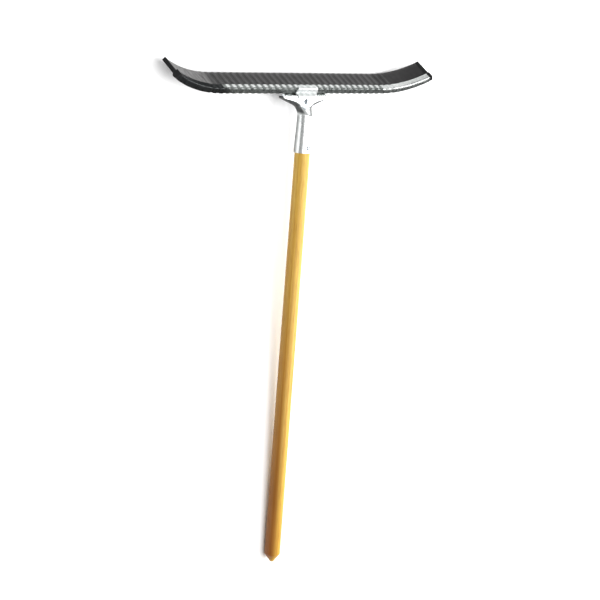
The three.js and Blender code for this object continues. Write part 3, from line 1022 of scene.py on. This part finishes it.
def recess_arm(floor, quarter):
    """A block that cuts one arm of the cross recess, down to its floor."""
    cutter = bmesh.new()
    bmesh.ops.create_cube(cutter, size=1)
    length, width, height = (side * MM for side in RECESS_SIZE)
    lift = Matrix.Translation((0, 0, floor * MM + height / 2))
    turn = Matrix.Rotation(quarter * math.pi / 2 + RECESS_TURN, 4, "Z")
    return moved(cutter, lift @ turn @ Matrix.Diagonal((length, width, height, 1)))


# ------------------------------------------------------------------ assembly

def add_blade():
    add_piece(
        "rubber_blade_ribbed", rubber_blade(), BLADE_FRAME, "rubber_blade", RUBBER,
        wear=rubber_wear,
    )
    add_piece(
        "channel_crimped", blade_channel(), BLADE_FRAME, "blade_channel", CHANNEL,
        wear=channel_wear,
    )
    for side, name in ((-1, "left"), (1, "right")):
        add_piece(
            f"end_piece_{name}", end_cap(side), BLADE_FRAME, f"end_cap_{name}",
            MOULDING, bevel=0.6,
        )


def add_bracket_and_handle():
    add_piece(
        "bracket_pressed", socket_bracket(), HANDLE_FRAME, "socket_bracket",
        BRACKET, bevel=0.3, wear=bracket_wear,
    )
    add_piece(
        "strap_pressed", clamp_strap(), BLADE_FRAME, "clamp_strap",
        BRACKET, bevel=0.4, wear=strap_wear,
    )
    add_piece("handle_turned", handle(), HANDLE_FRAME, "handle", WOOD)


def add_fasteners():
    inner = BOLT_RADIUS + GAP
    upper = washer(inner, WASHER_RADIUS, STRAP_TOP + GAP)
    lower = washer(inner, WASHER_RADIUS, NUT_TOP + GAP)
    fasteners = [
        ("bolt_hex", centre_bolt(), BOLT_FRAME, "centre_bolt"),
        ("bolt_washer_top", upper, BOLT_FRAME, "centre_washer_top"),
        ("bolt_washer_bottom", lower, BOLT_FRAME, "centre_washer_bottom"),
        ("bolt_nut", nut(), BOLT_FRAME, "centre_nut"),
        ("wood_screw", socket_screw(), SCREW_FRAME, "socket_screw"),
    ]
    for number, x in enumerate(FOOT_SCREW_STATIONS, start=1):
        place = foot_screw_frame(x)
        ring = washer(FOOT_SCREW_RADIUS + GAP, FOOT_WASHER_RADIUS, FOOT_BACK + GAP)
        fasteners.append((f"foot_hex_screw_{number}", foot_screw(), place, f"foot_screw_{number}"))
        fasteners.append((f"foot_ring_{number}", ring, place, f"foot_washer_{number}"))
    for name, body, place, node in fasteners:
        add_piece(name, body, place, node, ZINC, smooth_angle=30)


# ------------------------------------------------------------------ camera, floor and light

CAMERA_PLACE = Vector((2.0553, -0.5934, 2.3738))
CAMERA_FORWARD = Vector((-0.65318, 0.17631, -0.73640))
CAMERA_RIGHT = Vector((-0.75320, -0.05142, 0.65577))
SENSOR = 36.0
LENS = 103.572
CAMERA_REACH = 50
FLOOR_SIZE = 30
FLOOR_GREY = 0.93
FLOOR_ROUGHNESS = 0.9
SKY = ((0.0, 0.26), (0.9, 0.6))   # (height of the direction, shade)
LIGHTS = (                   # name, place in metres, size in metres, power in watts
    ("key", (-2.1, 0.5, 2.4), 1.5, 74),
    ("side", (-2.6, 0.1, 0.7), 0.9, 9),
    ("overhead", (0.3, 0.0, 2.4), 2.4, 60),
    ("front", (-1.9, -2.7, 1.2), 1.3, 12),
)


def add_camera():
    data = bpy.data.cameras.new("camera")
    data.sensor_width = SENSOR
    data.lens = LENS
    data.clip_end = CAMERA_REACH
    camera = bpy.data.objects.new("camera", data)
    bpy.context.scene.collection.objects.link(camera)
    backward = -CAMERA_FORWARD.normalized()
    right = CAMERA_RIGHT.normalized()
    up = backward.cross(right).normalized()
    turn = Matrix((right, up, backward)).transposed().to_4x4()
    camera.matrix_world = Matrix.Translation(CAMERA_PLACE) @ turn
    bpy.context.scene.camera = camera


def add_floor():
    bpy.ops.mesh.primitive_plane_add(size=FLOOR_SIZE)
    floor = bpy.context.object
    floor.name = "floor"
    material = bpy.data.materials.new("floor")
    material.use_nodes = True
    shader = material.node_tree.nodes["Principled BSDF"]
    shader.inputs["Base Color"].default_value = (FLOOR_GREY, FLOOR_GREY, FLOOR_GREY, 1)
    shader.inputs["Roughness"].default_value = FLOOR_ROUGHNESS
    floor.data.materials.append(material)


def add_light(name, place, size, power):
    """A square lamp that faces the tool's middle."""
    data = bpy.data.lights.new(name, "AREA")
    data.size = size
    data.energy = power
    light = bpy.data.objects.new(name, data)
    bpy.context.scene.collection.objects.link(light)
    light.location = place
    light.rotation_euler = (-Vector(place)).to_track_quat("-Z", "Y").to_euler()


def add_world():
    """A studio that is grey at the horizon and brighter overhead."""
    world = bpy.data.worlds.new("studio")
    bpy.context.scene.world = world
    world.use_nodes = True
    tree = world.node_tree
    direction = tree.nodes.new("ShaderNodeTexCoord").outputs["Generated"]
    split = tree.nodes.new("ShaderNodeSeparateXYZ")
    tree.links.new(direction, split.inputs[0])
    ramp = tree.nodes.new("ShaderNodeValToRGB")
    for element, (position, shade) in zip(ramp.color_ramp.elements, SKY):
        element.position = position
        element.color = (shade, shade, shade, 1)
    tree.links.new(split.outputs["Z"], ramp.inputs[0])
    tree.links.new(ramp.outputs[0], tree.nodes["Background"].inputs["Color"])


add_camera()
add_floor()
add_world()
for lamp in LIGHTS:
    add_light(*lamp)
bpy.context.scene.view_settings.view_transform = "Standard"
add_blade()
add_bracket_and_handle()
add_fasteners()

bpy.context.view_layer.update()
